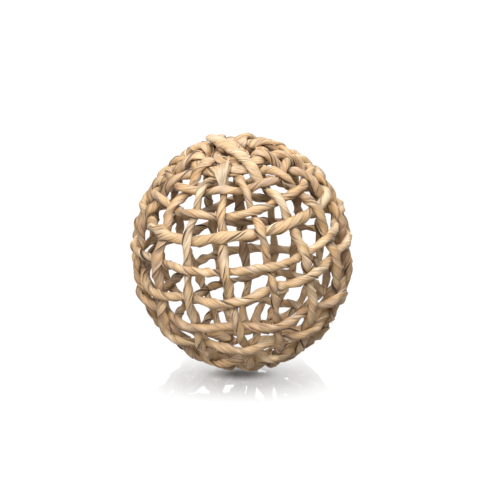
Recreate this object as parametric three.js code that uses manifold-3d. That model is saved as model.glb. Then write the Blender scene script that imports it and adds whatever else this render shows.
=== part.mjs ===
// Open woven ball of dried plant strands: stakes run from pole to pole, rings weave across them,
// and a crown ring at each pole takes the stake ends. Millimetres, +Z up, resting on z = 0.
import * as THREE from 'three';
import Module from 'manifold-3d';

const EQUATOR_RADIUS = 90.5;   // centre of the ball to the middle of the weave, across
const POLE_RADIUS = 98.5;      // the same towards the poles
const STRAND_THICKNESS = 6.2;  // measured in and out of the ball
const CLEARANCE = 0.7;         // air between two strands where they cross
const POLE_CLEARANCE = 0.6;    // how much wider that is at the poles, where strands bend sharply
const CREST_RUN = 0.27;        // half the straight run over a crossing, per width of the strand below
const VALLEY_RUN = 0.25;       // half the straight run under a crossing, per width of the strand above
const BROAD = 0.105;           // a ring bends in two places under a strand this wide for its radius
const CROWN_LATITUDE = 72;
const CROWN_WIDTH = 6;         // width of a stake's end
const CROWN_WAVE = 1;          // how far a crown ring weaves in and out
const CROSSING_HEIGHT = 102.8; // from the centre to a strand that crosses over a pole
const FOOT_RISE = 0.7;         // how much further out it lies at the bottom, where the ball rests on it
const COIL_RADIUS = 10.6;      // of the strand end coiled round the top pole
const COIL_HEIGHT = 95.6;
const COIL_TURN = 290;         // degrees it goes round
const TILT = 1.8;              // degrees the top leans to the front
const LEAN = 6.4;              // degrees the top leans to the left
const FLAT_DEPTH = 1;          // how much the floor flattens the lowest strands

// Stakes, round the ball from the left: longitude at the equator (0 is the front), drift in
// degrees of longitude over the height, and width.
const STAKE_LONGITUDES = [
  -98, -75, -48, -28, -4, 18, 38, 61, 80, 98, 113, 129, 146, 164, 181, 200, 220, 240,
];
const STAKE_DRIFTS = [2, 0, 6, 4, 6, 4, -4, -3, -3, 0, 2, -2, 2, -3, 3, 1, -2, 2];
const STAKE_WANDER = 0.8;      // degrees a stake wanders to either side
const STAKE_WIDTHS = [7, 7.5, 10.5, 7, 7.5, 6.5, 8, 8, 7, 7, 7.5, 7, 8, 7, 9, 7.5, 7, 7.5];
const TOP_TURN = -86;          // longitude of stake 0 at the top crown
const BOTTOM_TURN = -84;       // and at the bottom crown
const STEP = 360 / STAKE_LONGITUDES.length;

// Rings from top to bottom: mean latitude, tilt, longitude it tilts towards, width.
const RINGS = [
  { latitude: CROWN_LATITUDE, tilt: 0, toward: 0, width: 6.4, crown: true },
  { latitude: 57.5, tilt: 2.5, toward: 15, width: 7 },
  { latitude: 45, tilt: 3, toward: 5, width: 7 },
  { latitude: 33, tilt: 3, toward: 10, width: 9 },
  { latitude: 17, tilt: 3.5, toward: 10, width: 7 },
  { latitude: 4.5, tilt: 3.5, toward: 45, width: 7.5 },
  { latitude: -10.5, tilt: 2, toward: -100, width: 7 },
  { latitude: -25.5, tilt: 1.5, toward: 20, width: 8 },
  { latitude: -41, tilt: 2, toward: 90, width: 7 },
  { latitude: -56.5, tilt: 1.5, toward: 120, width: 7.5 },
  { latitude: -CROWN_LATITUDE, tilt: 0, toward: 0, width: 6.4, crown: true },
];
const RING_SPACING = 19;       // millimetres between rings where they are closest
const RING_WAVE = 1.2;         // degrees a ring wanders up and down

// What a stake's end does once past a crown ring, by stake; the others hook over or tuck under.
const TOP_ENDS = {
  6: 'lid', 14: 'coil', 10: 'stub', 2: 'stub',
  1: 'short', 3: 'short', 9: 'short', 11: 'short', 13: 'short', 15: 'short',
};
const BOTTOM_ENDS = {
  4: 'across', 10: 'dip', 16: 'stub',
  9: 'short', 11: 'short', 13: 'short', 15: 'short', 17: 'short',
};

const rad = THREE.MathUtils.degToRad;
const wander = (n) => rad(137.5 * n);

function surface(longitude, latitude) {
  const a = rad(longitude), b = rad(latitude);
  const around = new THREE.Vector3(Math.sin(a), -Math.cos(a), 0);
  const point = around.clone().multiplyScalar(EQUATOR_RADIUS * Math.cos(b));
  point.z = POLE_RADIUS * Math.sin(b);
  const normal = around.clone().multiplyScalar(Math.cos(b) / EQUATOR_RADIUS);
  normal.z = Math.sin(b) / POLE_RADIUS;
  normal.normalize();
  const north = around.clone().multiplyScalar(-normal.z);
  north.z = normal.dot(around);
  return { point, normal, north };
}

const lifted = (s, lift) => s.point.clone().addScaledVector(s.normal, lift);

// Millimetres along a meridian for one degree of latitude.
function meridianScale(latitude) {
  const b = rad(latitude);
  return rad(1) * Math.hypot(EQUATOR_RADIUS * Math.sin(b), POLE_RADIUS * Math.cos(b));
}

function stakeLongitude(i, latitude) {
  const even = (latitude > 0 ? TOP_TURN : BOTTOM_TURN) + STEP * i;
  const pull = 1 - THREE.MathUtils.smoothstep(Math.abs(latitude), 42, CROWN_LATITUDE);
  const own = STAKE_LONGITUDES[i] - STAKE_DRIFTS[i] * latitude / 90
    + STAKE_WANDER * Math.sin(rad(3.4 * latitude) + wander(i));
  return even + (own - even) * pull;
}

function ringLatitude(j, longitude) {
  const { latitude, tilt, toward, crown } = RINGS[j];
  const wave = crown ? 0 : 0.7 * Math.sin(rad(3 * longitude) + wander(j))
    + 0.4 * Math.sin(rad(7 * longitude) + wander(2 * j));
  return latitude + tilt * Math.cos(rad(longitude - toward)) + RING_WAVE * wave;
}

function crossing(i, j) {
  let latitude = RINGS[j].latitude, longitude = 0;
  for (let n = 0; n < 12; n++) {
    longitude = stakeLongitude(i, latitude);
    latitude = ringLatitude(j, longitude);
  }
  return { longitude, latitude };
}

// A stake narrows towards the crowns, where there is less room side by side.
function stakeWidth(i, latitude) {
  const narrow = THREE.MathUtils.smoothstep(Math.abs(latitude), 25, 65);
  return STAKE_WIDTHS[i] + (CROWN_WIDTH - STAKE_WIDTHS[i]) * narrow;
}

const stakeOnTop = (i, j) => (i + j) % 2 === 0;

// The two strands share the height of a crossing in proportion to the run each has to bend in.
function shares(j, latitude) {
  const apart = STRAND_THICKNESS + CLEARANCE + POLE_CLEARANCE * Math.sin(rad(latitude)) ** 2;
  const run = rad(STEP) * EQUATOR_RADIUS * Math.cos(rad(latitude));
  const ring = RINGS[j].crown ? CROWN_WAVE : apart * run / (run + RING_SPACING);
  return { ring, stake: apart - ring };
}

// A strand's centreline as knots: a place, the way its outer face looks, and its size there.
class StrandPath extends THREE.Curve {
  constructor(knots) {
    super();
    this.knots = knots;
  }

  getPoint(t, target = new THREE.Vector3()) {
    const at = t * (this.knots.length - 1);
    const n = Math.min(Math.floor(at), this.knots.length - 2);
    return target.lerpVectors(this.knots[n].point, this.knots[n + 1].point, at - n);
  }

  getSpacedPoints() {
    return this.knots.map((knot) => knot.point.clone());
  }

  computeFrenetFrames() {
    const tangents = [], normals = [], binormals = [];
    this.knots.forEach((knot, n) => {
      const before = this.knots[Math.max(n - 1, 0)].point;
      const after = this.knots[Math.min(n + 1, this.knots.length - 1)].point;
      const tangent = after.clone().sub(before).normalize();
      const across = new THREE.Vector3().crossVectors(tangent, knot.outward).normalize();
      const outward = new THREE.Vector3().crossVectors(across, tangent);
      tangents.push(tangent);
      normals.push(outward.multiplyScalar(knot.size ?? 1));
      binormals.push(across.multiplyScalar((knot.size ?? 1) * (knot.spread ?? 1)));
    });
    return { tangents, normals, binormals };
  }
}

// Six-sided section with a ridge on its outer and inner faces.
function strandSection(width) {
  const t = STRAND_THICKNESS, w = width;
  const shape = new THREE.Shape();
  shape.moveTo(t / 2, 0);
  shape.lineTo(t / 4, w / 2);
  shape.lineTo(-t / 4, w / 2);
  shape.lineTo(-t / 2, 0);
  shape.lineTo(-t / 4, -w / 2);
  shape.lineTo(t / 4, -w / 2);
  shape.closePath();
  return shape;
}

function strand(knots, width) {
  return new THREE.ExtrudeGeometry(strandSection(width), {
    steps: knots.length - 1,
    extrudePath: new StrandPath(knots),
    bevelEnabled: false,
  });
}

// The last knots of a stake, from the crown crossing inwards, in the plane of its meridian.
function stakeEnd(i, pole, style) {
  const j = pole > 0 ? 0 : RINGS.length - 1;
  const { longitude, latitude } = crossing(i, j);
  const at = surface(longitude, latitude);
  const inward = at.north.clone().multiplyScalar(pole);
  const { ring, stake } = shares(j, latitude);
  const spread = CROWN_WIDTH / STAKE_WIDTHS[i];
  const axis = new THREE.Vector3(0, 0, pole);
  const away = new THREE.Vector3(at.point.x, at.point.y, 0).normalize();
  const local = (m, n, outward, extra = {}) => ({
    point: at.point.clone().addScaledVector(inward, m).addScaledVector(at.normal, n),
    outward, spread, ...extra,
  });
  const polar = (radius, height, extra = {}, turned = 0) => ({
    point: away.clone().multiplyScalar(radius).applyAxisAngle(axis, -rad(turned))
      .addScaledVector(axis, height),
    outward: axis.clone(), spread, ...extra,
  });
  if (!stakeOnTop(i, j)) {
    const knots = [local(-1.8, -stake, at.normal), local(1.8, -stake, at.normal)];
    if (style === 'short') return [...knots, local(5.5, -stake + 0.4, at.normal, { size: 0.7 })];
    return [...knots, local(6.5, -4.4, at.normal), local(9.5, -2.9, at.normal),
      local(10.8, -2, at.normal, { size: 0.6 })];
  }
  const start = [local(-2.4, stake, at.normal), local(1.2, stake, at.normal)];
  if (style === 'across' || style === 'lid') {
    const broad = { spread: 8 / STAKE_WIDTHS[i] };
    const top = pole > 0 ? CROSSING_HEIGHT : CROSSING_HEIGHT + FOOT_RISE;
    const over = [local(-2.4, stake, at.normal, broad), local(1.2, stake, at.normal, broad),
      polar(14, top - 0.7, broad), polar(-8, top, broad)];
    if (style === 'lid') {
      return [...over, polar(-19, top - 0.2, broad), polar(-27, top - 1, broad),
        polar(-30, top - 1.6, { ...broad, size: 0.6 })];
    }
    return [...over, polar(-24, top, broad), polar(-31, top - 0.8, broad),
      polar(-38, top - 7, broad), polar(-40, top - 8.4, { ...broad, size: 0.6 })];
  }
  if (style === 'coil') {
    const knots = [...start, polar(19.5, 98.4)];
    for (let turned = 25; turned <= COIL_TURN; turned += 30) {
      const settled = Math.min((turned + 5) / 60, 1);
      knots.push(polar(THREE.MathUtils.lerp(19.5, COIL_RADIUS, settled),
        THREE.MathUtils.lerp(98.4, COIL_HEIGHT, settled), {}, turned));
    }
    return [...knots, polar(COIL_RADIUS, COIL_HEIGHT, { size: 0.6 }, COIL_TURN + 10)];
  }
  if (style === 'dip') {
    return [...start, polar(19, 98.4), polar(12, 94.8), polar(4, 93.4), polar(-3.5, 93.2),
      polar(-6, 93.2, { size: 0.6 })];
  }
  if (style === 'stub') {
    return [...start, polar(21, 98.9), polar(18.4, 98, { size: 0.65 })];
  }
  const centre = lifted(at, -ring);
  const turn = (angle, size) => {
    const a = rad(angle);
    const outward = at.normal.clone().multiplyScalar(Math.cos(a)).addScaledVector(inward, Math.sin(a));
    return {
      point: centre.clone().addScaledVector(at.normal, (ring + stake) * Math.cos(a))
        .addScaledVector(inward, 7.7 * Math.sin(a)),
      outward, spread, size,
    };
  };
  return [start[0], turn(10), turn(45), turn(78), turn(108), turn(122, 0.65)];
}

function stake(i) {
  const knots = stakeEnd(i, 1, TOP_ENDS[i]).reverse();
  for (let j = 1; j < RINGS.length - 1; j++) {
    const { longitude, latitude } = crossing(i, j);
    const over = stakeOnTop(i, j);
    const lift = shares(j, latitude).stake * (over ? 1 : -1);
    const half = RINGS[j].width * (over ? CREST_RUN : VALLEY_RUN) / meridianScale(latitude);
    for (const side of [1, -1]) {
      const there = latitude + side * half;
      const at = surface(stakeLongitude(i, there), there);
      knots.push({
        point: lifted(at, lift), outward: at.normal,
        spread: stakeWidth(i, latitude) / STAKE_WIDTHS[i],
      });
    }
  }
  knots.push(...stakeEnd(i, -1, BOTTOM_ENDS[i]));
  return strand(knots, STAKE_WIDTHS[i]);
}

function ring(j) {
  const count = STAKE_LONGITUDES.length;
  const first = (5 * j + 11 + (stakeOnTop(5 * j + 11, j) ? 0 : 1)) % count;
  const knots = [];
  const put = (longitude, lift, size) => {
    const at = surface(longitude, ringLatitude(j, longitude));
    knots.push({ point: lifted(at, lift), outward: at.normal, size });
  };
  for (let n = 0; n <= count; n++) {
    const i = (first + n) % count;
    const { longitude, latitude } = crossing(i, j);
    const turns = Math.floor((first + n) / count);
    const under = stakeOnTop(i, j);
    const lift = shares(j, latitude).ring * (under ? -1 : 1);
    const radius = EQUATOR_RADIUS * Math.cos(rad(latitude));
    const width = stakeWidth(i, latitude);
    const half = THREE.MathUtils.radToDeg(width * (under ? VALLEY_RUN : CREST_RUN) / radius);
    const middle = longitude + 360 * turns;
    const joint = THREE.MathUtils.radToDeg(0.4 / radius);
    if (n === 0) {
      put(middle + joint, lift);
      put(middle + joint + half, lift);
    } else if (n === count) {
      put(middle - joint - half, lift);
      put(middle - joint, lift);
    } else if (under && width < BROAD * radius) {
      put(middle, lift);
    } else {
      put(middle - half, lift);
      put(middle + half, lift);
    }
  }
  return strand(knots, RINGS[j].width);
}

const TONES = ['#c9a877', '#bf9c6c', '#d2b384', '#b79468', '#c4a27b', '#ccaf86'];
const lookOf = (n) => new THREE.MeshStandardMaterial({
  color: TONES[n % TONES.length], roughness: 0.8, metalness: 0,
});

const wasm = await Module();
wasm.setup();

// Turns a closed geometry into a solid and cuts off what lies below the floor.
function flattened(geometry) {
  geometry.computeBoundingBox();
  if (geometry.boundingBox.min.z >= 0) return geometry;
  const source = geometry.getAttribute('position');
  const keys = new Map(), places = [], corners = [];
  for (let n = 0; n < source.count; n++) {
    const xyz = [source.getX(n), source.getY(n), source.getZ(n)];
    const key = xyz.map((v) => v.toFixed(3)).join();
    if (!keys.has(key)) {
      keys.set(key, places.length / 3);
      places.push(...xyz);
    }
    corners.push(keys.get(key));
  }
  const solid = new wasm.Manifold(new wasm.Mesh({
    numProp: 3, vertProperties: new Float32Array(places), triVerts: new Uint32Array(corners),
  })).trimByPlane([0, 0, 1], 0);
  const mesh = solid.getMesh();
  return new THREE.BufferGeometry()
    .setAttribute('position', new THREE.BufferAttribute(new Float32Array(mesh.vertProperties), 3))
    .setIndex(new THREE.BufferAttribute(new Uint32Array(mesh.triVerts), 1));
}

const label = (kind, n) => `${kind}_${String(n).padStart(2, '0')}`;
const pieces = [];
STAKE_LONGITUDES.forEach((_, i) => pieces.push([label('stake', i + 1), stake(i)]));
RINGS.forEach(({ crown }, j) => {
  const name = crown ? (j === 0 ? 'crown_top' : 'crown_bottom') : label('ring', j);
  pieces.push([name, ring(j)]);
});

// Lean the whole ball, then set it down so that the floor takes FLAT_DEPTH off its lowest strands.
const lean = new THREE.Matrix4().makeRotationY(-rad(LEAN))
  .multiply(new THREE.Matrix4().makeRotationX(rad(TILT)));
const bounds = new THREE.Box3();
for (const [, geometry] of pieces) {
  geometry.applyMatrix4(lean);
  geometry.computeBoundingBox();
  bounds.union(geometry.boundingBox);
}
const centre = bounds.getCenter(new THREE.Vector3());
const ball = new THREE.Group();
ball.name = 'woven_ball';
pieces.forEach(([name, geometry], n) => {
  geometry.translate(-centre.x, -centre.y, -bounds.min.z - FLAT_DEPTH);
  const mesh = new THREE.Mesh(flattened(geometry), lookOf(n));
  mesh.name = name;
  ball.add(mesh);
});

export default ball;
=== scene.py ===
import math

import bpy
import numpy as np
from mathutils import Euler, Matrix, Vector


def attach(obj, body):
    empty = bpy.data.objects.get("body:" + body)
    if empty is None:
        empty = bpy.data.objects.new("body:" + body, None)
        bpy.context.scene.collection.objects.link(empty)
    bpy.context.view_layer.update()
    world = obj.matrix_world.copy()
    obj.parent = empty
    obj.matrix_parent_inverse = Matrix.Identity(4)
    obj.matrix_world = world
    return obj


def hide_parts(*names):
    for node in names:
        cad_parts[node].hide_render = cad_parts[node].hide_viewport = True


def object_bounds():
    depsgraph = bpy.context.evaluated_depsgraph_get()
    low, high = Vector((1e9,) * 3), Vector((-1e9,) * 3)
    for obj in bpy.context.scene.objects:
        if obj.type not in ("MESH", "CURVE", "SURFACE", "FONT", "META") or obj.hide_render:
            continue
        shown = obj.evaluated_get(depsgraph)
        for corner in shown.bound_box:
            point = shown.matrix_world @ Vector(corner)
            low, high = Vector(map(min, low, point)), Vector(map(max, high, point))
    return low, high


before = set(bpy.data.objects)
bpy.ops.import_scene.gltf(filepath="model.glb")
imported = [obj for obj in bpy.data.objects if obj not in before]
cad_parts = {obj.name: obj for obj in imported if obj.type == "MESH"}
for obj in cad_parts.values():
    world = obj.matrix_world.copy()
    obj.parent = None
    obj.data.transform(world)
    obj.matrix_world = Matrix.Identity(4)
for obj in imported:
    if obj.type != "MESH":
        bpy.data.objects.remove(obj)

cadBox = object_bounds()

# An open woven ball of twisted stalk. Metres and degrees, unless a note says millimetres.
# Longitude 0 is the front, latitude 90 the top.
ball = {
    "equatorRadius": 0.0905,        # centre to the middle of the weave
    "poleRadius": 0.0985,
    "centre": (0.00012, 0.00001, 0.1048),
    "tilt": 1.8,                    # the top leans to the front
    "lean": 6.4,                    # and to the left
    "apart": 0.0049,                # between the middles of two strands that cross, pressed together
    "poleApart": 0.0006,            # how much more that is at the poles
    "crestRun": 0.27,               # half the straight run over a crossing, per width of the strand below
    "valleyRun": 0.25,              # and under a crossing, per width of the strand above
    "waveShift": 137.5,             # degrees between the waves of neighbours, so that no two are alike
    "coveredBeyond": 0.0265,        # nearer the axis than this, no strand gets painted shade as a covered one
}

stakes = {
    "longitude": [-98, -75, -48, -28, -4, 18, 38, 61, 80, 98, 113, 129, 146, 164, 181, 200, 220, 240],
    "drift": [2, 0, 6, 4, 6, 4, -4, -3, -3, 0, 2, -2, 2, -3, 3, 1, -2, 2],
    "width": [7, 7.5, 10.5, 7, 7.5, 6.5, 8, 8, 7, 7, 7.5, 7, 8, 7, 9, 7.5, 7, 7.5],    # millimetres
    "wander": 0.8,
    "wanderRate": 3.4,              # degrees of that wave for each degree of latitude
    "gatherFrom": 42,               # latitude where stakes begin to draw to even places
    "narrowing": (25, 65),          # latitudes between which they narrow to their width at the crown
    "topTurn": -86,                 # longitude of the first stake at the top crown
    "bottomTurn": -84,
    "topEnds": {6: "lid", 14: "coil", 10: "stub", 2: "stub", 1: "short", 3: "short", 9: "short",
                11: "short", 13: "short", 15: "short"},
    "bottomEnds": {4: "across", 10: "dip", 16: "stub", 9: "short", 11: "short", 13: "short",
                   15: "short", 17: "short"},
}

# Rings from the top: latitude, tilt, longitude it tilts towards, width in millimetres.
rings = {
    "place": [(72, 0, 0, 6.4), (57.5, 2.5, 15, 7), (45, 3, 5, 7), (33, 3, 10, 9), (17, 3.5, 10, 7),
              (4.5, 3.5, 45, 7.5), (-10.5, 2, -100, 7), (-25.5, 1.5, 20, 8), (-41, 2, 90, 7),
              (-56.5, 1.5, 120, 7.5), (-72, 0, 0, 6.4)],
    "spacing": 0.019,
    "wander": 1.2,
    "waves": [(0.7, 3, 1), (0.4, 7, 2)],     # share, waves round the ring, times the shift between rings
    "jointGap": 0.0004,
    "joint": (5, 11),               # the stake over a ring's joint: how many on for each ring, and the first
}

# The crown rings and the ends of the stakes there. Knots and routes are in millimetres, and the last point
# of a route is the very end of the strand.
crown = {
    "latitude": 72,
    "width": 0.006,
    "full": 1.5,                    # how much fuller strands are there
    "wave": 0.001,                  # how far a crown ring weaves in and out
    "crest": (-2.4, 1.2),           # knots of a stake that passes over the ring, inwards from the crossing
    "valley": (-1.8, 1.8),          # and of one that passes under it
    "short": (5.5, 0.4),            # inwards, and outwards from the stake's own depth
    "tucked": [(6.5, -4.4), (9.5, -2.9), (11.2, -1.9)],        # inwards, and outwards from the weave
    "crossingHeight": 0.1028,       # from the centre to a strand that crosses over a pole
    "footRise": 0.0007,             # how much further out it lies at the bottom
    # Out from the axis, out from the crossing height, and width.
    "lid": [(14, -0.7, 9.5), (-8, 0, 10.5), (-19, -0.2, 10.5), (-27, -1, 9), (-30, -1.6, 8)],
    "across": [(14, -0.7, 8), (-8, 0, 8), (-24, 0, 8), (-31, -0.8, 8), (-38, -7, 8), (-40, -8.4, 8)],
    # Out from the axis and out from the centre.
    "dip": [(19, 98.4), (12, 94.8), (4, 93.4), (-3.5, 93.2), (-6, 93.2)],
    "stub": [(21, 98.9), (17.6, 97.7)],
    "coilFrom": (19.5, 98.4),
    "coilRadius": 0.0106,
    "coilHeight": 0.0956,
    "coilTurn": 290,
    "coilStep": (25, 30),           # degrees to the coil's first knot, and from each to the next
    "coilSettle": (5, 60),          # it is drawn in so many degrees early, over so many degrees
    "coilFull": 1.1,
    "coilTail": 10,                 # degrees from its last full knot to its end
    "hookTurns": (10, 45, 78, 108, 126),     # degrees round the crown ring
    "hookReach": 0.0077,            # inwards from the middle of the crown ring to the middle of the hook
    "hookFull": 1.15,
    "blunt": 0.85,                  # size of a strand's very end
    "hookBlunt": 0.9,
}

stakeCount = len(stakes["longitude"])
ringCount = len(rings["place"])
stakeStep = 360 / stakeCount


def smoothRise(value, low, high):
    t = min(max((value - low) / (high - low), 0), 1)
    return t * t * (3 - 2 * t)


def onBall(longitude, latitude):          # a point of the weave's middle surface, its normal and its north
    a, b = math.radians(longitude), math.radians(latitude)
    around = np.array([math.sin(a), -math.cos(a), 0])
    point = around * ball["equatorRadius"] * math.cos(b)
    point[2] = ball["poleRadius"] * math.sin(b)
    normal = around * math.cos(b) / ball["equatorRadius"]
    normal[2] = math.sin(b) / ball["poleRadius"]
    normal /= np.linalg.norm(normal)
    north = -normal[2] * around
    north[2] = normal @ around
    return point, normal, north


def meridianScale(latitude):              # metres for one degree along a meridian
    b = math.radians(latitude)
    return math.radians(1) * math.hypot(ball["equatorRadius"] * math.sin(b), ball["poleRadius"] * math.cos(b))


def stakeLongitude(i, latitude):
    turn = stakes["topTurn"] if latitude > 0 else stakes["bottomTurn"]
    even = turn + stakeStep * i
    pull = 1 - smoothRise(abs(latitude), stakes["gatherFrom"], crown["latitude"])
    phase = math.radians(stakes["wanderRate"] * latitude + ball["waveShift"] * i)
    own = (stakes["longitude"][i] - stakes["drift"][i] * latitude / 90
           + stakes["wander"] * math.sin(phase))
    return even + (own - even) * pull


def isCrown(j):
    return j in (0, ringCount - 1)


def ringLatitude(j, longitude):
    latitude, tilt, toward = rings["place"][j][:3]
    wave = 0
    if not isCrown(j):
        wave = sum(share * math.sin(math.radians(count * longitude + ball["waveShift"] * times * j))
                   for share, count, times in rings["waves"])
    return latitude + tilt * math.cos(math.radians(longitude - toward)) + rings["wander"] * wave


def crossing(i, j):                       # found by turns, each from the other's last answer
    latitude = rings["place"][j][0]
    for _ in range(12):
        longitude = stakeLongitude(i, latitude)
        latitude = ringLatitude(j, longitude)
    return longitude, latitude


def stakeWidth(i, latitude):
    width = stakes["width"][i] / 1000
    return width + (crown["width"] - width) * smoothRise(abs(latitude), *stakes["narrowing"])


def stakeOnTop(i, j):
    return (i + j) % 2 == 0


def shares(j, latitude):                  # how far a crossing lifts its ring and its stake
    apart = ball["apart"] + ball["poleApart"] * math.sin(math.radians(latitude)) ** 2
    run = math.radians(stakeStep) * ball["equatorRadius"] * math.cos(math.radians(latitude))
    ring = crown["wave"] if isCrown(j) else apart * run / (run + rings["spacing"])
    return ring, apart - ring


def bluntLast(route, blunt=crown["blunt"]):        # sizes along a route: full, then less at the very end
    return [1] * (len(route) - 1) + [blunt]


def stakeEnd(i, pole, style):             # the last knots of a stake, from the crown crossing on
    j = 0 if pole > 0 else ringCount - 1
    longitude, latitude = crossing(i, j)
    point, normal, north = onBall(longitude, latitude)
    inward = north * pole
    ring, stake = shares(j, latitude)
    axis = np.array([0, 0, pole])
    away = np.array([point[0], point[1], 0])
    away /= np.linalg.norm(away)

    def local(m, n, size=1):
        return point + (inward * m + normal * n) / 1000, normal, crown["width"] * size * crown["full"], size

    def polar(radius, height, size=1, width=crown["width"] * crown["full"], turned=0):
        a = -math.radians(turned) * pole
        turnedAway = np.array([away[0] * math.cos(a) - away[1] * math.sin(a),
                               away[0] * math.sin(a) + away[1] * math.cos(a), 0])
        return (turnedAway * radius + axis * height) / 1000, axis, width * size, size

    up = stake * 1000
    if not stakeOnTop(i, j):
        knots = [local(m, -up) for m in crown["valley"]]
        if style == "short":
            m, n = crown["short"]
            return knots + [local(m, n - up, crown["blunt"])]
        route = crown["tucked"]
        return knots + [local(m, n, size) for (m, n), size in zip(route, bluntLast(route))]

    start = [local(m, up) for m in crown["crest"]]
    if style in ("lid", "across"):
        top = (crown["crossingHeight"] + (crown["footRise"] if pole < 0 else 0)) * 1000
        route = crown[style]
        return start + [polar(r, top + h, size, w / 1000) for (r, h, w), size in zip(route, bluntLast(route))]
    if style in ("dip", "stub"):
        route = crown[style]
        return start + [polar(r, h, size) for (r, h), size in zip(route, bluntLast(route))]
    if style == "coil":
        return start + coilKnots(polar)

    centre = point - normal * ring

    def hooked(angle, size):
        a = math.radians(angle)
        out = normal * math.cos(a) + inward * math.sin(a)
        place = centre + normal * (ring + stake) * math.cos(a) + inward * crown["hookReach"] * math.sin(a)
        return place, out, crown["width"] * size * crown["full"], size * crown["hookFull"]

    turns = crown["hookTurns"]
    return start[:1] + [hooked(a, size) for a, size in zip(turns, bluntLast(turns, crown["hookBlunt"]))]


def coilKnots(polar):                     # one loop round the pole, drawn in as it starts
    firstRadius, firstHeight = crown["coilFrom"]
    radius, height = crown["coilRadius"] * 1000, crown["coilHeight"] * 1000
    knots = [polar(firstRadius, firstHeight)]
    first, step = crown["coilStep"]
    early, over = crown["coilSettle"]
    for turned in range(first, crown["coilTurn"] + 1, step):
        settled = min((turned + early) / over, 1)
        hereRadius = firstRadius + (radius - firstRadius) * settled
        hereHeight = firstHeight + (height - firstHeight) * settled
        knots.append(polar(hereRadius, hereHeight, crown["coilFull"], turned=turned))
    return knots + [polar(radius, height, crown["blunt"], turned=crown["coilTurn"] + crown["coilTail"])]


def stakeKnots(i):
    knots = stakeEnd(i, 1, stakes["topEnds"].get(i, "hook"))[::-1]
    for j in range(1, ringCount - 1):
        latitude = crossing(i, j)[1]
        over = stakeOnTop(i, j)
        lift = shares(j, latitude)[1] * (1 if over else -1)
        run = ball["crestRun"] if over else ball["valleyRun"]
        half = rings["place"][j][3] / 1000 * run / meridianScale(latitude)
        for side in (1, -1):
            there = latitude + side * half
            point, normal = onBall(stakeLongitude(i, there), there)[:2]
            knots.append((point + normal * lift, normal, stakeWidth(i, latitude), 1))
    return knots + stakeEnd(i, -1, stakes["bottomEnds"].get(i, "hook"))


def ringKnots(j):
    knots = []
    width = rings["place"][j][3] / 1000 * (crown["full"] if isCrown(j) else 1)
    perRing, start = rings["joint"]
    first = perRing * j + start
    first = (first + (0 if stakeOnTop(first, j) else 1)) % stakeCount

    def put(longitude, lift):
        point, normal = onBall(longitude, ringLatitude(j, longitude))[:2]
        knots.append((point + normal * lift, normal, width, 1))

    for n in range(stakeCount + 1):
        i = (first + n) % stakeCount
        longitude, latitude = crossing(i, j)
        middle = longitude + 360 * ((first + n) // stakeCount)
        under = stakeOnTop(i, j)
        lift = shares(j, latitude)[0] * (-1 if under else 1)
        radius = ball["equatorRadius"] * math.cos(math.radians(latitude))
        run = ball["valleyRun"] if under else ball["crestRun"]
        half = math.degrees(stakeWidth(i, latitude) * run / radius)
        joint = math.degrees(rings["jointGap"] / radius)
        if n == 0:
            put(middle + joint, lift)
            put(middle + joint + half, lift)
        elif n == stakeCount:
            put(middle - joint - half, lift)
            put(middle - joint, lift)
        else:
            put(middle - half, lift)
            put(middle + half, lift)
    return knots


# Small tools for node trees: a wire is a socket that takes part in plain arithmetic.
class Wire:
    def __init__(self, board, socket):
        self.board = board
        self.socket = socket

    def maths(self, operation, *rest):
        return self.board.add("ShaderNodeMath", {"operation": operation}, [self, *rest])

    def other(self, name):                # another output of the same node
        return Wire(self.board, self.socket.node.outputs[name])

    def __add__(self, rest):
        return self.maths("ADD", rest)

    __radd__ = __add__

    def __sub__(self, rest):
        return self.maths("SUBTRACT", rest)

    def __rsub__(self, rest):
        return self.board.add("ShaderNodeMath", {"operation": "SUBTRACT"}, [rest, self])

    def __mul__(self, rest):
        return self.maths("MULTIPLY", rest)

    __rmul__ = __mul__

    def __truediv__(self, rest):
        return self.maths("DIVIDE", rest)


class Board:
    def __init__(self, tree):
        self.tree = tree

    def add(self, kind, settings=None, sockets=(), out=0):
        node = self.tree.nodes.new(kind)
        for name, value in (settings or {}).items():
            setattr(node, name, value)
        pairs = sockets.items() if isinstance(sockets, dict) else enumerate(sockets)
        for name, value in pairs:
            if isinstance(value, Wire):
                self.tree.links.new(value.socket, node.inputs[name])
            else:
                node.inputs[name].default_value = value
        return Wire(self, node.outputs[out]) if len(node.outputs) else node

    def mix(self, factor, first, second):
        settings = {"data_type": "RGBA", "blend_type": "MIX", "clamp_factor": True}
        return self.add("ShaderNodeMix", settings, {0: factor, 6: first, 7: second}, 2)

    def vector(self, operation, *values, out=0):
        return self.add("ShaderNodeVectorMath", {"operation": operation}, list(values), out)

    def scaled(self, value, factor):
        return self.add("ShaderNodeVectorMath", {"operation": "SCALE"}, {0: value, 3: factor})

    def joined(self, x, y, z):
        return self.add("ShaderNodeCombineXYZ", {}, [x, y, z])

    def noise(self, place, scale, detail=2, roughness=0.5):
        sockets = {"Vector": place, "Scale": scale, "Detail": detail, "Roughness": roughness}
        return self.add("ShaderNodeTexNoise", {"noise_dimensions": "3D"}, sockets)

    def between(self, value, low, high):  # 0 below low, 1 above high, smooth between
        settings = {"interpolation_type": "SMOOTHSTEP", "clamp": True}
        return self.add("ShaderNodeMapRange", settings, {"Value": value, "From Min": low, "From Max": high})


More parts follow.
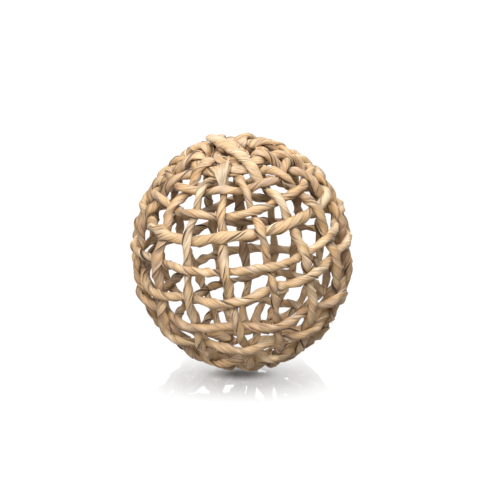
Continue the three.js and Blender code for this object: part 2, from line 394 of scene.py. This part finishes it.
# One strand: a stalk's flat sheath rolled and twisted round a path.
strandLook = {
    "sides": 40,
    "pathStep": 0.0011,
    "thickness": 0.007,
    "slender": 0.95,                      # how much narrower a strand looks than its room in the weave
    "pitch": (0.025, 0.044),              # metres for one turn of the twist
    "unevenTwist": 2.4,                   # radians between where the twist runs ahead and where it lags most
    "commonWay": 0.6,                     # share of strands twisted the commoner way
    "foldCounts": (2, 2, 2, 1, 3),        # edges of the sheath round the strand
    "foldStep": 0.20,                     # height of an edge, of the strand's radius
    "crease": 0.14,                       # depth of the groove beside it
    "flatness": 0.20,                     # how far the sheath is from round where it is flattest
    "wrinkle": 0.06,
    "bulge": 0.12,
    # How often each of these changes, for each metre of strand.
    "changes": {"twist": 34, "edge": 42, "wrinkle": 60, "bulge": 58, "flat": 38},
    "sway": 0.0003,                       # how far a strand strays from its even path
    "swayOut": 0.4,                       # how much of that it strays in and out
    "swayPitches": (0.061, 0.037, 0.023),
    "nipEvery": 0.11,                     # metres of strand for each nip
    "nipMargin": 0.03,                    # no nip is nearer an end than this
    "crossingRun": 0.0058,                # two knots nearer than this are the two of a crossing
    "pressed": 0.27,                      # how much thinner a strand is where another crosses it
    "pressReach": 0.0048,
    "spread": 0.25,                       # how much of what is pressed away goes to the width
    "coverReach": 0.0058,                 # how far from a crossing the painted shade on the strand beneath reaches
    "endRound": 0.0012,
    "endTaper": 0.2,
    "cutReach": 0.0008,                   # how far from its end a cut strand is browned
    "seed": 4700,
    "seedStep": 3.7,                      # how far apart the patterns of two strands lie
    "shiftStep": 1.37,                    # and their colours
}


def strandTree():
    tree = bpy.data.node_groups.new("Twisted strand", "GeometryNodeTree")
    sizes = {
        "Sides": "NodeSocketInt", "Folds": "NodeSocketFloat", "Twist": "NodeSocketFloat",
        "Fold Step": "NodeSocketFloat", "Crease": "NodeSocketFloat", "Flatness": "NodeSocketFloat",
        "Wrinkle": "NodeSocketFloat", "Bulge": "NodeSocketFloat", "Seed": "NodeSocketFloat",
        "Material": "NodeSocketMaterial",
    }
    tree.interface.new_socket("Geometry", in_out="INPUT", socket_type="NodeSocketGeometry")
    for name, kind in sizes.items():
        tree.interface.new_socket(name, in_out="INPUT", socket_type=kind)
    tree.interface.new_socket("Geometry", in_out="OUTPUT", socket_type="NodeSocketGeometry")
    b = Board(tree)
    given = b.add("NodeGroupInput")
    changes = strandLook["changes"]

    def named(name, kind="FLOAT"):
        return b.add("GeometryNodeInputNamedAttribute", {"data_type": kind}, {"Name": name})

    def stored(geometry, name, value, kind="FLOAT"):
        settings = {"data_type": kind, "domain": "POINT"}
        sockets = {"Geometry": geometry, "Name": name, "Value": value}
        return b.add("GeometryNodeStoreNamedAttribute", settings, sockets)

    # A round tube along the path, whose points know how far round they are.
    path = b.add("GeometryNodeMeshToCurve", {}, [given])
    circle = b.add("GeometryNodeCurvePrimitiveCircle", {"mode": "RADIUS"},
                   {"Resolution": given.other("Sides"), "Radius": 1.0})
    fullTurn = 2 * math.pi
    circle = stored(circle, "around", b.add("GeometryNodeSplineParameter") * fullTurn)
    tube = b.add("GeometryNodeCurveToMesh", {}, {"Curve": path, "Profile Curve": circle, "Fill Caps": True})

    # The twist, a little uneven, turns the section as it goes along.
    phi = named("around")
    along = named("along")
    seed = given.other("Seed")
    uneven = b.noise(b.joined(along * changes["twist"], seed, 0.3), 1.0, 1)
    theta = phi + along * given.other("Twist") + (uneven - 0.5) * strandLook["unevenTwist"]
    lay = b.joined(phi.maths("COSINE"), phi.maths("SINE"), along)

    # Each fold of the sheath rises to an edge, and a groove lies beside it. Both come and go.
    foldTurn = phi * given.other("Folds") / fullTurn
    onFold = foldTurn.maths("FRACT")
    loose = b.noise(b.joined(foldTurn.maths("FLOOR") * 3.3 + seed, along * changes["edge"], 4.1), 1.0, 1)
    edge = b.between(loose, 0.36, 0.66)
    rise = (0.5 - onFold) * given.other("Fold Step") * (edge + 0.12)
    groove = b.between(onFold, 0.8, 0.98) * given.other("Crease") * (edge + 0.15)

    # Wrinkles on the skin, slow bulges, and stretches where the section is flat.
    onSkin = b.joined(phi.maths("COSINE") * 1.7 + seed, phi.maths("SINE") * 1.7, along * changes["wrinkle"])
    wrinkle = (b.noise(onSkin, 1.6, 3, 0.6) - 0.5) * given.other("Wrinkle") * 2
    bulge = (b.noise(b.joined(along * changes["bulge"], seed, 7.7), 1.0, 2) - 0.5) * given.other("Bulge")
    flattened = b.noise(b.joined(along * changes["flat"], seed, 9.2), 1.0, 1)
    flat = b.between(flattened, 0.2, 0.6) * given.other("Flatness")
    ribbon = (0.637 - phi.maths("SINE").maths("ABSOLUTE")) * 1.6 * flat      # 0.637 keeps the mean radius
    radius = (1 + rise - groove + wrinkle + bulge + ribbon) * named("endSize")

    outwards = theta.maths("COSINE") * radius * named("halfThick")
    sideways = theta.maths("SINE") * radius * named("halfWide")
    out = b.scaled(named("outward", "FLOAT_VECTOR"), outwards)
    side = b.scaled(named("across", "FLOAT_VECTOR"), sideways)
    place = b.vector("ADD", b.vector("ADD", named("centre", "FLOAT_VECTOR"), out), side)
    placed = b.add("GeometryNodeSetPosition", {}, {"Geometry": tube, "Position": place})
    placed = stored(placed, "lay", lay, "FLOAT_VECTOR")
    placed = stored(placed, "folds", given.other("Folds"))
    placed = stored(placed, "edge", edge)
    smooth = b.add("GeometryNodeSetShadeSmooth", {}, [placed])
    real = b.add("GeometryNodeRealizeInstances", {}, [smooth])
    done = b.add("GeometryNodeSetMaterial", {}, {"Geometry": real, "Material": given.other("Material")})
    b.add("NodeGroupOutput", {}, [done])
    return tree


def directionsAlong(line, outs):          # outward and sideways, both square to the line
    tangent = np.gradient(line, axis=0)
    tangent /= np.linalg.norm(tangent, axis=1)[:, None]
    across = np.cross(tangent, outs)
    across /= np.linalg.norm(across, axis=1)[:, None]
    return np.cross(across, tangent), across


def smoothPath(knots, step):              # knots to an even, smooth line with its directions and sizes
    points = np.array([k[0] for k in knots])
    outs = np.array([k[1] for k in knots], float)
    sizes = np.array([[k[2], k[3]] for k in knots])
    length = np.concatenate([[0], np.cumsum(np.linalg.norm(np.diff(points, axis=0), axis=1))])
    slopes = np.gradient(points, length, axis=0)
    count = max(int(length[-1] / step), 8)
    at = np.linspace(0, length[-1], count + 1)
    n = np.clip(np.searchsorted(length, at, side="right") - 1, 0, len(length) - 2)
    gap = (length[n + 1] - length[n])[:, None]
    t = ((at - length[n]) / gap[:, 0])[:, None]
    line = ((2 * t**3 - 3 * t**2 + 1) * points[n] + (t**3 - 2 * t**2 + t) * gap * slopes[n]
            + (3 * t**2 - 2 * t**3) * points[n + 1] + (t**3 - t**2) * gap * slopes[n + 1])
    ease = t * t * (3 - 2 * t)
    outward = outs[n] * (1 - ease) + outs[n + 1] * ease
    size = sizes[n] * (1 - ease) + sizes[n + 1] * ease
    outward, across = directionsAlong(line, outward)
    return line, outward, across, size, at, length


leanTurn = (Euler((0, -math.radians(ball["lean"]), 0)).to_matrix()
            @ Euler((math.radians(ball["tilt"]), 0, 0)).to_matrix())
leanTurn = np.array(leanTurn)


def sway(at, number, phase):              # a slow, uneven wander along a strand
    total = 0
    for k, pitch in enumerate(strandLook["swayPitches"], 1):
        strength = math.sin(number * 2.3 + k + phase)
        total = total + strength * np.sin(at * 2 * math.pi / pitch + number * k * 1.7 + phase)
    return total


# A nip: broad like a leaf, then drawn to a point.
nip = {
    "broad": 0.20,
    "broadAt": 0.010,                     # from the leaf's middle to the point
    "broadReach": 0.007,
    "narrow": 0.38,
    "narrowReach": 0.0035,
}


def pinched(at, places, sign):            # width factors along a strand
    factor = np.ones(len(at))
    for place in places:
        factor += nip["broad"] * np.exp(-(((at - place) * sign + nip["broadAt"]) / nip["broadReach"]) ** 2)
        factor -= nip["narrow"] * np.exp(-((at - place) / nip["narrowReach"]) ** 2)
    return factor


def fibreStrip(line, outs, along, width, thick, cut):
    outward, across = directionsAlong(line, outs)
    count = len(line)
    return {"centre": line, "outward": outward, "across": across, "along": along, "halfWide": width * 0.5,
            "halfThick": width * thick, "endSize": np.ones(count), "cut": np.full(count, cut),
            "under": np.zeros(count)}


# A thin loose fibre that leaves a strand's surface.
hair = {
    "count": 3,                           # on each strand
    "length": (0.003, 0.008),
    "width": 0.0004,
    "thick": 0.22,                        # half its thickness, of its width
    "margin": 4,                          # steps of the path from either end
    "angle": 1.2,                         # radians from straight out, to either side
    "slant": 0.8,
    "root": 0.46,                         # where it starts, of the strand's width and thickness
    "rise": 0.35,                         # how far it lifts off, of its length
    "curl": 1.6,
    "taper": 0.6,
    "steps": 9,
}


def hairFrom(line, outward, across, size, random):
    k = random.integers(hair["margin"], len(line) - hair["margin"])
    angle = random.uniform(-hair["angle"], hair["angle"])
    rise = outward[k] * math.cos(angle) + across[k] * math.sin(angle)
    way = (line[k + 1] - line[k - 1]) * random.choice([-1, 1])
    aslant = np.cross(rise, way) / np.linalg.norm(way)
    way = way / np.linalg.norm(way) + aslant * random.uniform(-hair["slant"], hair["slant"])
    root = outward[k] * math.cos(angle) * size[k, 1] * strandLook["thickness"] * hair["root"]
    root = root + across[k] * math.sin(angle) * size[k, 0] * hair["root"]
    span = random.uniform(*hair["length"])
    t = np.linspace(0, 1, hair["steps"])[:, None]
    fibre = line[k] + root + way * span * t + rise * (span * hair["rise"]) * t ** hair["curl"]
    width = hair["width"] * (1 - hair["taper"] * t[:, 0] ** 2)
    return fibreStrip(fibre, rise, t[:, 0] * span, width, hair["thick"], 0.0)


# The split top end of the fifth stake, fanned out over the crown.
frayed = {
    "stake": 4,
    "from": 60.5,                         # latitude where the fibres part
    "to": (68, 79),
    "spread": 5.5,                        # degrees of longitude to either side
    "fan": (0.25, 2.4, 1.4),              # how much of that at the start, how much more, and how late
    "uneven": 0.2,
    "count": 6,
    "width": 0.0024,
    "thick": 0.2,
    "root": 0.003,                        # height over the weave's middle surface where they part
    "lift": (0.0080, 0.0094),             # and further on
    "grain": 0.02,                        # metres of grain along one fibre
    "steps": 14,
}


def frayedFibres(random):
    fibres = []
    middle = stakeLongitude(frayed["stake"], frayed["from"])
    least, more, late = frayed["fan"]
    t = np.linspace(0, 1, frayed["steps"])
    for n in range(frayed["count"]):
        side = 2 * (n + 0.5) / frayed["count"] - 1 + random.uniform(-frayed["uneven"], frayed["uneven"])
        end = random.uniform(*frayed["to"])
        lift = random.uniform(*frayed["lift"])
        line, outs = [], []
        for share in t:
            longitude = middle + side * frayed["spread"] * (least + more * share**late)
            point, normal = onBall(longitude, frayed["from"] + (end - frayed["from"]) * share)[:2]
            risen = math.sin(math.pi * min(share * 0.75, 0.5))
            line.append(point + normal * (frayed["root"] + (lift - frayed["root"]) * risen))
            outs.append(normal)
        width = frayed["width"] * (0.8 + 0.4 * np.sin(math.pi * t)) * (1 - 0.75 * t**4)
        fibre = fibreStrip(np.array(line), np.array(outs), t * frayed["grain"], width, frayed["thick"], -1.0)
        fibres.append(fibre)
    return fibres


def isInside(point):                      # inside the weave's middle surface, so under the strand it crosses
    radii = np.array([ball["equatorRadius"], ball["equatorRadius"], ball["poleRadius"]])
    return np.linalg.norm(point / radii) < 1 and math.hypot(point[0], point[1]) > ball["coveredBeyond"]


def strandStrips(knots, number, random):  # the strand's own line, then its loose fibres
    line, outward, across, size, at, knotAt = smoothPath(knots, strandLook["pathStep"])
    under = np.zeros(len(at))
    for k, (first, second) in enumerate(zip(knotAt, knotAt[1:])):
        if second - first < strandLook["crossingRun"]:
            away = at - (first + second) / 2
            press = strandLook["pressed"] * np.exp(-(away / strandLook["pressReach"]) ** 2)
            size *= np.stack([1 + press * strandLook["spread"], 1 - press], axis=1)
            if isInside((knots[k][0] + knots[k + 1][0]) / 2):
                # painted shade on the strand beneath, where another crosses over it
                under += np.exp(-(away / strandLook["coverReach"]) ** 4)
    margin = strandLook["nipMargin"]
    nips = random.uniform(margin, at[-1] - margin, max(int(at[-1] / strandLook["nipEvery"]), 1))
    size[:, 0] *= strandLook["slender"] * pinched(at, nips, 1 if random.random() < 0.5 else -1)
    line = line + across * (strandLook["sway"] * sway(at, number, 0))[:, None]
    line = line + outward * (strandLook["swayOut"] * strandLook["sway"] * sway(at, number, 2))[:, None]
    fromEnd = np.minimum(at, at[-1] - at)
    taper = strandLook["endTaper"]
    rounding = np.sqrt(1 - (1 - np.clip(fromEnd / strandLook["endRound"], 0, 1)) ** 2)
    strips = [{
        "centre": line, "outward": outward, "across": across, "along": at, "halfWide": size[:, 0] * 0.5,
        "halfThick": size[:, 1] * strandLook["thickness"] * 0.5, "endSize": 1 - taper + taper * rounding,
        "cut": np.exp(-fromEnd / strandLook["cutReach"]), "under": under,
    }]
    strips += [hairFrom(line, outward, across, size, random) for _ in range(hair["count"])]
    if number == frayed["stake"]:
        strips += frayedFibres(random)
    return strips


def draftStrand(name, strips):            # the strips as bare lines that carry their sizes and directions
    values = {key: np.concatenate([strip[key] for strip in strips]) for key in strips[0]}
    values["centre"] = values["centre"] @ leanTurn.T + np.array(ball["centre"])
    values["outward"] = values["outward"] @ leanTurn.T
    values["across"] = values["across"] @ leanTurn.T
    edges, first = [], 0
    for strip in strips:
        edges += [(first + k, first + k + 1) for k in range(len(strip["along"]) - 1)]
        first += len(strip["along"])
    mesh = bpy.data.meshes.new(name)
    mesh.from_pydata(values["centre"].tolist(), edges, [])
    for key, value in values.items():
        vector = value.ndim == 2
        attribute = mesh.attributes.new(key, "FLOAT_VECTOR" if vector else "FLOAT", "POINT")
        attribute.data.foreach_set("vector" if vector else "value", value.astype(np.float32).ravel())
    draft = bpy.data.objects.new(name + "_draft", mesh)
    bpy.context.scene.collection.objects.link(draft)
    return draft, list(values)


def twistStrand(draft, number, tree, material, random):      # the full mesh of a draft
    pitch = random.uniform(*strandLook["pitch"])
    direction = 1 if random.random() < strandLook["commonWay"] else -1
    folds = strandLook["foldCounts"][random.integers(len(strandLook["foldCounts"]))]
    inputs = {
        "Sides": strandLook["sides"], "Folds": float(folds), "Twist": direction * 2 * math.pi / pitch,
        "Fold Step": strandLook["foldStep"], "Crease": strandLook["crease"],
        "Flatness": strandLook["flatness"], "Wrinkle": strandLook["wrinkle"], "Bulge": strandLook["bulge"],
        "Seed": number * strandLook["seedStep"], "Material": material,
    }
    modifier = draft.modifiers.new("twist", "NODES")
    modifier.node_group = tree
    for item in tree.interface.items_tree:
        if item.in_out == "INPUT" and item.name in inputs:
            modifier[item.identifier] = inputs[item.name]
    bpy.context.view_layer.update()
    evaluated = draft.evaluated_get(bpy.context.evaluated_depsgraph_get())
    return bpy.data.meshes.new_from_object(evaluated)


def storeForAll(mesh, name, value):       # the same value at every point
    attribute = mesh.attributes.new(name, "FLOAT", "POINT")
    attribute.data.foreach_set("value", np.full(len(mesh.vertices), value, np.float32))


def pointsOf(mesh):
    places = np.zeros(len(mesh.vertices) * 3)
    mesh.vertices.foreach_get("co", places)
    return places.reshape(-1, 3)


def restOnFloor(mesh):                    # flat where it would go through the floor
    places = pointsOf(mesh)
    places[:, 2] = np.maximum(places[:, 2], 0)
    mesh.vertices.foreach_set("co", places.ravel())


def turnOutwards(mesh):                   # a guard, should a change to the section wind it the other way
    mesh.calc_loop_triangles()
    corners = np.zeros(len(mesh.loop_triangles) * 3, np.int32)
    mesh.loop_triangles.foreach_get("vertices", corners)
    a, b, c = pointsOf(mesh)[corners.reshape(-1, 3)].transpose(1, 0, 2)
    if np.einsum("ij,ij->i", a, np.cross(b, c)).sum() < 0:
        mesh.flip_normals()


def makeStrand(name, node, knots, number, tree, material):
    random = np.random.default_rng(strandLook["seed"] + number)
    draft, drafted = draftStrand(name, strandStrips(knots, number, random))
    body = twistStrand(draft, number, tree, material, random)
    bpy.data.objects.remove(draft)
    body.name = name
    storeForAll(body, "tone", random.random())
    storeForAll(body, "shift", number * strandLook["shiftStep"])
    restOnFloor(body)
    for key in [*drafted, "around"]:
        if key in body.attributes and key not in ("cut", "under"):
            body.attributes.remove(body.attributes[key])
    piece = bpy.data.objects.new(name, body)
    bpy.context.scene.collection.objects.link(piece)
    turnOutwards(body)
    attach(piece, "root")
    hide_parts(node)
    return piece


stalkLook = {
    "tan": (0.565, 0.38, 0.195, 1),
    "gold": (0.60, 0.35, 0.135, 1),
    "brown": (0.26, 0.12, 0.048, 1),
    "pale": (0.70, 0.59, 0.43, 1),
    "grey": (0.43, 0.31, 0.225, 1),
    # the near-black of the painted shade in grooves and slits
    "creaseShadow": (0.028, 0.013, 0.006, 1),
    # the colour of the painted shade under crossings
    "shadowed": (0.13, 0.058, 0.026, 1),
    "roughness": 0.55,
    "bump": 0.0005,                       # metres of relief
    # Each pattern's reach round the strand, place in the noise, rate along, scale, detail and roughness.
    "patterns": {
        "streak": (1, 0, 14, 3.0, 2, 0.55),
        "grain": (1, 3.1, 6, 6.5, 2, 0.6),
        "fibre": (1, 6.7, 5, 22.0, 2, 0.7),
        "patch": (0.4, 0, 36, 1.1, 2, 0.55),
        "warm": (0.6, 5.3, 60, 1.2, 2, 0.6),
        "cool": (0.5, 8.4, 30, 1.2, 2, 0.6),
        "ridge": (1.1, 1.7, 7, 1.9, 1, 0.5),
        "parting": (0.7, 2.2, 70, 1.0, 1, 0.5),
    },
}


def stalkMaterial():
    material = bpy.data.materials.new("driedStalk")
    material.use_nodes = True
    material.node_tree.nodes.clear()
    b = Board(material.node_tree)

    def read(name, out="Fac"):
        return b.add("ShaderNodeAttribute", {"attribute_name": name}, {}, out)

    lay = b.add("ShaderNodeSeparateXYZ", {}, [read("lay", "Vector")])
    cosine, sine, along = lay, lay.other("Y"), lay.other("Z")
    tone, shift, folds = read("tone"), read("shift"), read("folds")
    edge, cut, under = read("edge"), read("cut"), read("under")

    def pattern(name):
        reach, place, rate, scale, detail, roughness = stalkLook["patterns"][name]
        spot = b.joined(cosine * reach + shift, sine * reach + place, along * rate)
        return b.noise(spot, scale, detail, roughness)

    streak, grain, fibre = pattern("streak"), pattern("grain"), pattern("fibre")
    patch, warm, cool = pattern("patch"), pattern("warm"), pattern("cool")

    # Where on its fold a point lies: the foot of an edge, which gets a painted shadow line, its lip, which
    # gets a painted highlight, and the painted shade between.
    phase = (sine.maths("ARCTAN2", cosine) * folds / (2 * math.pi) + 5).maths("FRACT")
    foot = b.between(phase, 0.86, 0.93) * (1 - b.between(phase, 0.985, 1.0))
    lipHighlight = 1 - b.between(phase, 0.0, 0.14)
    shade = b.between(phase, 0.45, 1.0)
    broken = b.between(b.noise(b.joined(shift + 9.1, cosine * 0.8, along * 75), 1.0, 2), 0.36, 0.50)
    # thin slits along the strand, cut into the bump and given painted shade
    slit = 1 - b.between((pattern("ridge") - 0.5).maths("ABSOLUTE"), 0.010, 0.038)
    slit = slit * b.between(pattern("parting"), 0.46, 0.62)

    base = b.mix(b.between(cool + (tone - 0.5) * 0.3, 0.48, 0.70) * 0.8, stalkLook["tan"], stalkLook["grey"])
    base = b.mix(b.between(warm + (tone - 0.5) * 0.2, 0.52, 0.70) * 0.6, base, stalkLook["gold"])
    base = b.mix(b.between(patch - (tone - 0.5) * 0.25, 0.50, 0.72) * 0.6, base, stalkLook["pale"])
    base = b.mix(b.between(streak, 0.50, 0.72) * 0.66, base, stalkLook["brown"])
    base = b.mix(b.between(grain, 0.54, 0.70) * 0.68, base, stalkLook["brown"])
    base = b.mix(b.between(grain, 0.46, 0.32) * 0.45, base, stalkLook["pale"])
    base = b.mix(b.between(fibre, 0.52, 0.75) * 0.3, base, stalkLook["brown"])
    # painted shade on the slope of each fold, down to the next edge
    base = b.mix(shade * edge * 0.5, base, stalkLook["brown"])
    # painted highlight on the lip of each edge
    base = b.mix(lipHighlight * edge * 0.55, base, stalkLook["pale"])
    # painted shade where another strand crosses over this one
    base = b.mix(under * 0.42, base, stalkLook["shadowed"])
    # painted shade in the thin slits
    base = b.mix(slit * 0.85, base, stalkLook["creaseShadow"])
    # painted shadow line in the groove at the foot of each edge
    base = b.mix(foot * (edge * 0.9 + 0.1) * broken, base, stalkLook["creaseShadow"])
    base = b.mix(b.between(cut, 0.1, 0.8) * 0.8, base, stalkLook["brown"])      # cut ends
    base = b.mix(b.between(cut, 0.0, -0.5) * 0.5, base, stalkLook["pale"])      # frayed fibres, below 0
    height = streak * 0.5 + grain * 0.5 + fibre * 0.15 - foot * edge * 1.2 - slit
    relief = {"Strength": 0.8, "Distance": stalkLook["bump"], "Height": height}
    bump = b.add("ShaderNodeBump", {}, relief)
    rough = streak * 0.25 + (stalkLook["roughness"] - 0.1)
    shader = b.add("ShaderNodeBsdfPrincipled", {}, {"Base Color": base, "Roughness": rough, "Normal": bump})
    b.add("ShaderNodeOutputMaterial", {}, {"Surface": shader})
    return material


print("weaving the ball")
tree = strandTree()
stalk = stalkMaterial()
pieces = []
for i in range(stakeCount):
    node = f"stake_{i + 1:02d}"
    pieces.append(makeStrand("twisted_" + node, node, stakeKnots(i), i, tree, stalk))
for j in range(ringCount):
    node = {0: "crown_top", ringCount - 1: "crown_bottom"}.get(j, f"ring_{j:02d}")
    number = 40 + j                       # past the stakes' numbers
    pieces.append(makeStrand("twisted_" + node, node, ringKnots(j), number, tree, stalk))
triangles = sum(len(face.vertices) - 2 for piece in pieces for face in piece.data.polygons)
print("strands:", len(pieces), "triangles:", triangles)

studio = {
    "elevation": 29,
    "distance": 1.1,
    "lens": 92,
    "aside": 0.0069,                     # the view's centre, to the right of the ball's
    "above": 0.0026,
    "lights": {                          # place, size and power
        "key": ((-0.3, -1.2, 1.5), 1.0, 45),
        "top": ((0.2, 0.2, 1.9), 1.8, 26),
        "back": ((0.7, 1.2, 1.3), 1.4, 10),
    },
    "aim": (0, 0, 0.1),
    "roomTint": (1.0, 0.84, 0.68, 1),    # on the ball, and plain white where it is seen
    "roomGlow": (0.13, 0.9),             # strength on the ball, and how much more where it is seen
    "floorReach": 6,
    "floorGlow": 0.97,
    "contactShadow": {"centre": (-0.001, -0.029), "size": (0.038, 0.0145), "inner": 0.1},    # painted contact shadow on the floor
    "contactShadowTone": 0.16,
    "gloss": {"centre": (0.0, -0.036), "size": (0.11, 0.042), "inner": 0.1},
    "polish": (0.03, 0.45),              # everywhere, and how much more at the gloss
    "dimFloor": (0.12, 0.10, 0.08, 1),   # as the ball is lit by it
}


def paintFloor():
    material = bpy.data.materials.new("paleFloor")
    material.use_nodes = True
    material.node_tree.nodes.clear()
    b = Board(material.node_tree)
    place = b.add("ShaderNodeTexCoord", {}, {}, "Object")

    def nearness(spot):                   # 1 at a spot on the floor, 0 outside its reach
        centre, size = spot["centre"], spot["size"]
        offset = b.vector("SUBTRACT", place, (*centre, 0))
        distance = b.vector("LENGTH", b.vector("DIVIDE", offset, (*size, 1)), out="Value")
        return 1 - b.between(distance, spot["inner"], 1.0)

    tone = studio["contactShadowTone"]
    # painted contact shadow: the floor's glow darkened in front of where the ball stands
    paintedShadowGlow = b.mix(nearness(studio["contactShadow"]), (1, 1, 1, 1), (tone, tone, tone, 1))
    least, more = studio["polish"]
    polish = nearness(studio["gloss"]) * more + least
    white = b.add("ShaderNodeBsdfPrincipled", {}, {
        "Base Color": (0.07, 0.07, 0.07, 1), "Roughness": 0.7, "IOR": 1.0,
        "Emission Color": paintedShadowGlow, "Emission Strength": studio["floorGlow"],
    })
    mirror = b.add("ShaderNodeBsdfPrincipled", {}, {
        "Base Color": (0.97, 0.97, 0.97, 1), "Metallic": 1.0, "Roughness": 0.03,
    })
    glossy = b.add("ShaderNodeMixShader", {}, [polish, white, mirror])
    dim = b.add("ShaderNodeBsdfDiffuse", {}, {"Color": studio["dimFloor"]})
    bounced = b.add("ShaderNodeLightPath", {}, {}, "Is Diffuse Ray")
    surface = b.add("ShaderNodeMixShader", {}, [bounced, glossy, dim])
    b.add("ShaderNodeOutputMaterial", {}, {"Surface": surface})
    mesh = bpy.data.meshes.new("floor")
    r = studio["floorReach"]
    mesh.from_pydata([(-r, -r, 0), (r, -r, 0), (r, r, 0), (-r, r, 0)], [], [(0, 1, 2, 3)])
    floor = bpy.data.objects.new("floor", mesh)
    floor.data.materials.append(material)
    bpy.context.scene.collection.objects.link(floor)


def addLight(name, place, size, power):
    light = bpy.data.lights.new(name, "AREA")
    light.shape = "DISK"
    light.size = size
    light.energy = power
    holder = bpy.data.objects.new(name, light)
    holder.location = place
    aim = Vector(studio["aim"]) - Vector(place)
    holder.rotation_euler = aim.to_track_quat("-Z", "Y").to_euler()
    bpy.context.scene.collection.objects.link(holder)


def lightRoom():
    world = bpy.data.worlds.new("studio")
    bpy.context.scene.world = world
    world.use_nodes = True
    world.node_tree.nodes.clear()
    b = Board(world.node_tree)
    rays = b.add("ShaderNodeLightPath", {}, {}, "Is Camera Ray")
    seen = rays.maths("MAXIMUM", rays.other("Is Glossy Ray"))
    glow = b.mix(seen, studio["roomTint"], (1, 1, 1, 1))
    least, more = studio["roomGlow"]
    room = b.add("ShaderNodeBackground", {}, {"Color": glow, "Strength": seen * more + least})
    b.add("ShaderNodeOutputWorld", {}, [room])
    bpy.context.scene.view_settings.view_transform = "Standard"


def setCamera():
    up = math.radians(studio["elevation"])
    target = Vector((studio["aside"], 0, (cadBox[0][2] + cadBox[1][2]) / 2))
    target += Vector((0, math.sin(up), math.cos(up))) * studio["above"]
    away = Vector((0, -math.cos(up), math.sin(up)))
    data = bpy.data.cameras.new("camera")
    data.lens = studio["lens"]
    data.sensor_width = 36
    camera = bpy.data.objects.new("camera", data)
    camera.location = target + away * studio["distance"]
    camera.rotation_euler = (-away).to_track_quat("-Z", "Y").to_euler()
    bpy.context.scene.collection.objects.link(camera)
    bpy.context.scene.camera = camera


print("setting up the studio")
paintFloor()
for name, (place, size, power) in studio["lights"].items():
    addLight(name, place, size, power)
lightRoom()
setCamera()
